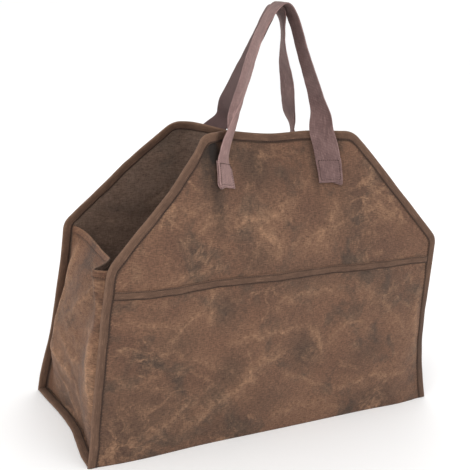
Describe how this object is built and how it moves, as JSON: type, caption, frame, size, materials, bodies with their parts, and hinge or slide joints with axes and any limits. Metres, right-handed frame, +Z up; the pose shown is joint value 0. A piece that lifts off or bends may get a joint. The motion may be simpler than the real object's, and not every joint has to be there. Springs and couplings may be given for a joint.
{
  "type": "canvas log carrier",
  "caption": "Waxed canvas carrier for firewood: a tote open at the top with bound edges, folded end gussets, a band across the front and two webbing handles.",
  "frame": {"origin": "under the middle of the bag, at the middle of its bounding box, on the surface that it stands on", "axes": "+Z up towards the handles, -Y out of the front panel with the band, +X to the right seen from the front"},
  "size_m": [0.6132, 0.2486, 0.6361],
  "materials": {
    "front_panel": "waxed brown canvas",
    "back_panel": "waxed brown canvas",
    "bottom_panel": "waxed brown canvas",
    "left_gusset": "waxed brown canvas",
    "right_gusset": "waxed brown canvas",
    "front_binding": "brown cotton tape",
    "back_binding": "brown cotton tape",
    "left_base_binding": "brown cotton tape",
    "right_base_binding": "brown cotton tape",
    "front_band": "brown cotton tape",
    "front_handle": "mauve brown webbing",
    "back_handle": "mauve brown webbing"
  },
  "bodies": {
    "root": {"front_panel": "front_panel", "back_panel": "back_panel", "bottom_panel": "bottom_panel", "left_gusset": "left_gusset", "right_gusset": "right_gusset", "front_binding": "front_binding", "back_binding": "back_binding", "left_base_binding": "left_base_binding", "right_base_binding": "right_base_binding", "front_band": "front_band", "front_handle": "front_handle", "back_handle": "back_handle"}
  },
  "joints": []
}
